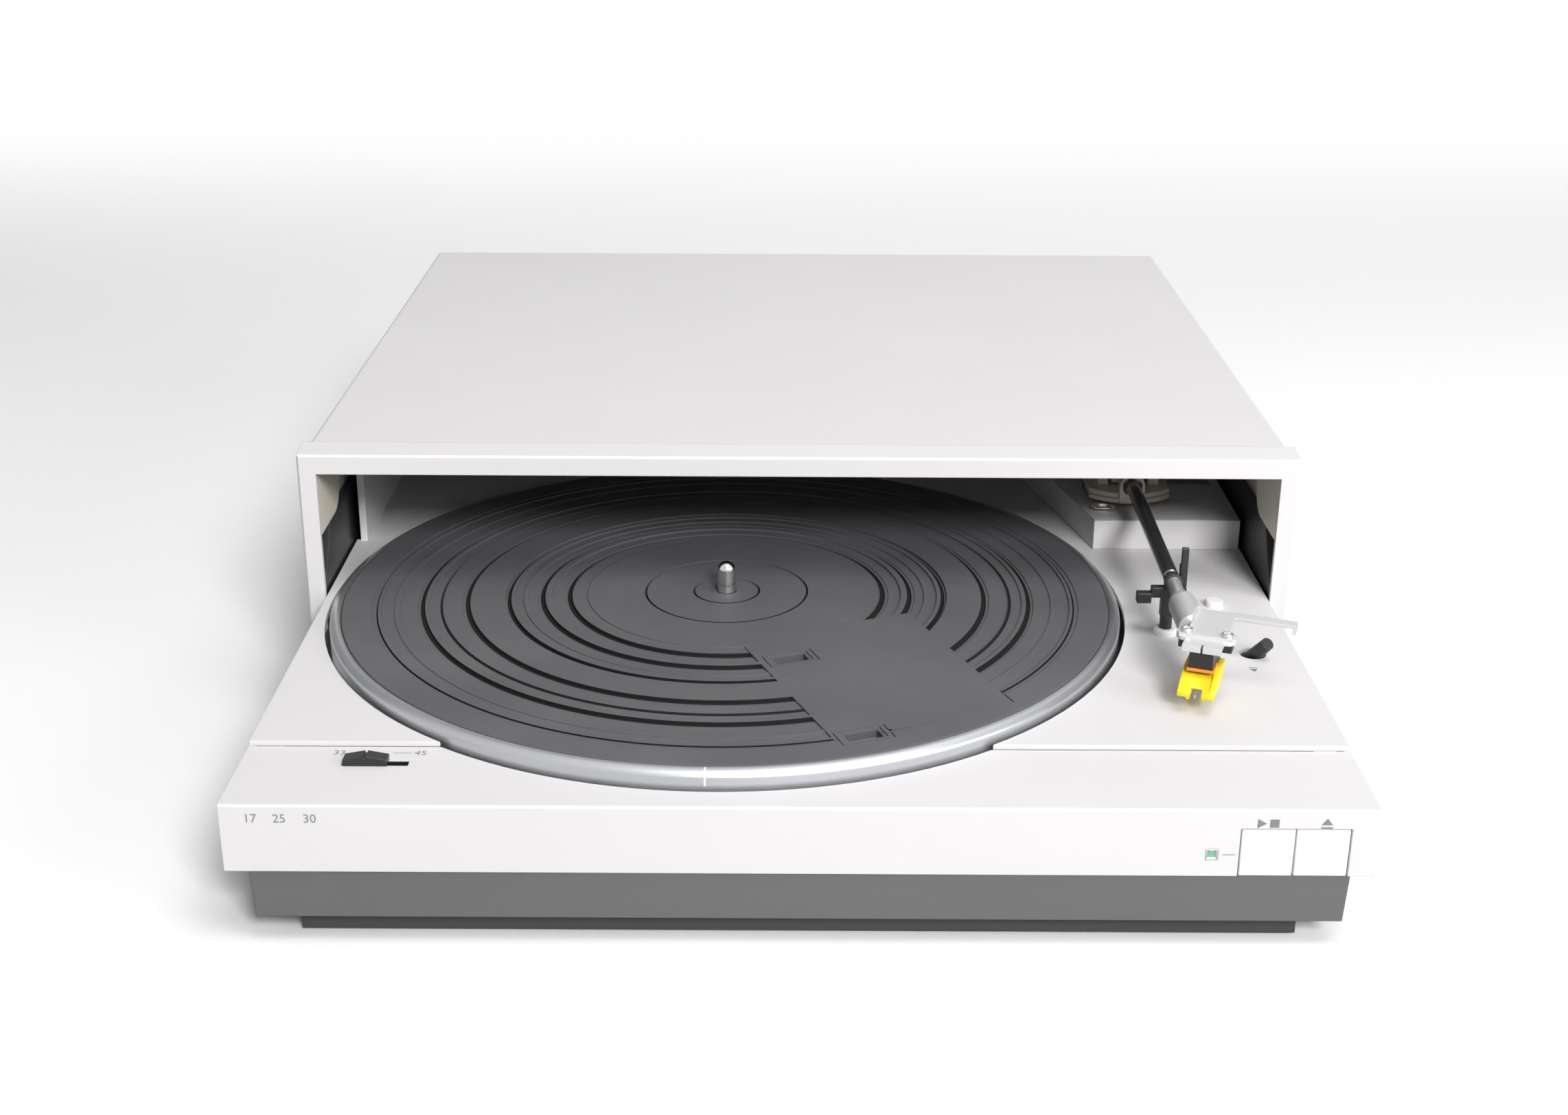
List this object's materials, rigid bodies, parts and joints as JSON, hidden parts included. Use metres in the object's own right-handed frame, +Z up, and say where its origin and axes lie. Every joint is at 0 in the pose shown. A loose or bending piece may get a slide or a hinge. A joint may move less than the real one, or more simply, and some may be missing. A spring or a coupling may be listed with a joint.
{
  "type": "drawer-loading turntable",
  "caption": "Flat low turntable whose deck, platter and tonearm slide out of a metal housing on a motor-driven drawer, with push buttons and a speed slider at the front.",
  "frame": {"origin": "middle of the base, on the surface it stands on, with the drawer pulled out", "axes": "+X to the right seen from the front, +Y from the front panel to the rear panel, +Z up"},
  "size_m": [0.3894, 0.5072, 0.1123],
  "materials": {
    "champagne_paint": "satin",
    "plinth_paint": "matt",
    "base_sheet": "satin",
    "bare_sheet": "satin",
    "black_moulding": "gloss",
    "dark_plastic": "matt",
    "cream_plastic": "satin",
    "smoked_plastic": "gloss",
    "foot_rubber": "matt",
    "plated_screw": "polished",
    "steel": "satin",
    "cast_aluminium": "polished",
    "mat_rubber": "matt",
    "white_plastic": "satin",
    "lamp_green": "gloss",
    "board_green": "satin",
    "copper_coils": "satin",
    "magnet": "matt",
    "arm_gloss": "polished",
    "collar_silver": "satin",
    "shell_silver": "satin",
    "yellow_plastic": "gloss",
    "gear_plastic": "satin",
    "belt_rubber": "matt"
  },
  "bodies": {
    "housing": {"front_frame": "champagne_paint", "top_cover": "champagne_paint", "bottom_plate": "base_sheet", "rear_panel": "bare_sheet", "side_skirts": "dark_plastic", "slide_tracks": "black_moulding", "drawer_rack": "dark_plastic", "flap_brackets": "cream_plastic", "dust_flap": "smoked_plastic", "housing_feet": "foot_rubber", "cover_screws": "plated_screw", "mains_inlet": "dark_plastic", "signal_sockets": "plated_screw"},
    "drawer": {"front_panel": "champagne_paint", "deck_plate": "champagne_paint", "tonearm_base": "champagne_paint", "height_screw": "steel", "plinth": "plinth_paint", "drawer_tray": "dark_plastic", "drawer_skid": "dark_plastic", "drawer_runners": "dark_plastic", "mechanism_plate": "bare_sheet", "circuit_board": "board_green", "transformer": "magnet", "size_sensors": "dark_plastic", "drive_motors": "steel", "control_boards": "board_green", "lamp_lens": "lamp_green", "deck_fittings": "white_plastic", "armrest": "black_moulding", "spindle_bearing": "steel", "stator": "copper_coils", "arm_sleeve": "cast_aluminium", "loading_belt": "belt_rubber"},
    "platter": {"platter": "cast_aluminium", "platter_mat": "mat_rubber", "spindle": "steel", "rotor_magnet": "magnet"},
    "arm_yoke": {"arm_yoke": "cream_plastic", "arm_wheel": "gear_plastic"},
    "tonearm": {"pivot_block": "collar_silver", "counterweight": "steel", "arm_tube": "arm_gloss", "head_collar": "collar_silver", "headshell": "shell_silver", "shell_screws": "plated_screw", "cartridge": "black_moulding", "stylus_holder": "yellow_plastic", "stylus": "cast_aluminium"},
    "lift_pin": {"lift_pin": "steel"},
    "lift_ring": {"lift_ring": "gear_plastic"},
    "cue_bar": {"cue_bar": "steel"},
    "cue_lever": {"cue_lever": "black_moulding"},
    "armrest_clip": {"armrest_clip": "black_moulding"},
    "start_button": {"start_button": "white_plastic"},
    "open_button": {"open_button": "white_plastic"},
    "speed_slider": {"speed_slider": "black_moulding"},
    "loading_gear": {"loading_gear": "gear_plastic"},
    "loading_pulley": {"loading_pulley": "gear_plastic"},
    "arm_pinion": {"arm_pinion": "gear_plastic"}
  },
  "joints": [
    {"name": "drawer_slide", "type": "slide", "parent": "housing", "child": "drawer", "axis": [0, 1, 0], "range_m": [0, 0.1703]},
    {"name": "platter_spin", "type": "hinge", "parent": "drawer", "child": "platter", "pos_m": [-0.0281, -0.0874, 0.0573], "axis": [0, 0, -1], "continuous": true},
    {"name": "tonearm_swing", "type": "hinge", "parent": "drawer", "child": "arm_yoke", "pos_m": [0.1426, 0.0104, 0.0754], "axis": [0, 0, -1], "range_deg": [0, 43]},
    {"name": "tonearm_lift", "type": "hinge", "parent": "arm_yoke", "child": "tonearm", "pos_m": [0.1426, 0.0104, 0.0754], "axis": [-0.9999, 0.0122, 0], "range_deg": [0, 2]},
    {"name": "lift_pin_slide", "type": "slide", "parent": "arm_yoke", "child": "lift_pin", "axis": [0, 0, 1], "range_m": [0, 0.00053]},
    {"name": "lift_ring_slide", "type": "slide", "parent": "drawer", "child": "lift_ring", "axis": [0, 0, 1], "range_m": [0, 0.00053]},
    {"name": "cue_bar_slide", "type": "slide", "parent": "drawer", "child": "cue_bar", "axis": [0, -1, 0], "range_m": [0, 0.0056]},
    {"name": "cue_lever_tilt", "type": "hinge", "parent": "drawer", "child": "cue_lever", "pos_m": [0.1683, -0.1338, 0.0495], "axis": [-1, 0, 0], "range_deg": [0, 40]},
    {"name": "armrest_clip_swing", "type": "hinge", "parent": "drawer", "child": "armrest_clip", "pos_m": [0.1451, -0.1171, 0.0797], "axis": [0, -1, 0], "range_deg": [0, 88]},
    {"name": "start_press", "type": "slide", "parent": "drawer", "child": "start_button", "axis": [0, 1, 0], "range_m": [0, 0.0015], "stiffness_N_per_m": 400},
    {"name": "open_press", "type": "slide", "parent": "drawer", "child": "open_button", "axis": [0, 1, 0], "range_m": [0, 0.0015], "stiffness_N_per_m": 400},
    {"name": "speed_shift", "type": "slide", "parent": "drawer", "child": "speed_slider", "axis": [1, 0, 0], "range_m": [0, 0.0063]},
    {"name": "loading_gear_spin", "type": "hinge", "parent": "drawer", "child": "loading_gear", "pos_m": [0.1726, 0.0524, 0.043], "axis": [0, 0, -1], "range_deg": [0, 930]},
    {"name": "loading_pulley_spin", "type": "hinge", "parent": "drawer", "child": "loading_pulley", "pos_m": [0.1346, 0.0524, 0.048], "axis": [0, 0, -1], "range_deg": [0, 3570]},
    {"name": "arm_pinion_spin", "type": "hinge", "parent": "drawer", "child": "arm_pinion", "pos_m": [0.11629, 0.00082, 0.042], "axis": [0, 0, 1], "range_deg": [0, 130]}
  ],
  "couplings": [
    {"joint": "cue_lever_tilt", "follows": "tonearm_lift", "ratio": 20},
    {"joint": "lift_pin_slide", "follows": "tonearm_lift", "m_per_rad": 0.015},
    {"joint": "lift_ring_slide", "follows": "tonearm_lift", "m_per_rad": 0.015},
    {"joint": "cue_bar_slide", "follows": "tonearm_lift", "m_per_rad": 0.1576},
    {"joint": "loading_gear_spin", "follows": "drawer_slide", "rad_per_m": 95.238},
    {"joint": "loading_pulley_spin", "follows": "drawer_slide", "rad_per_m": 365.71},
    {"joint": "arm_pinion_spin", "follows": "tonearm_swing", "ratio": 3}
  ]
}
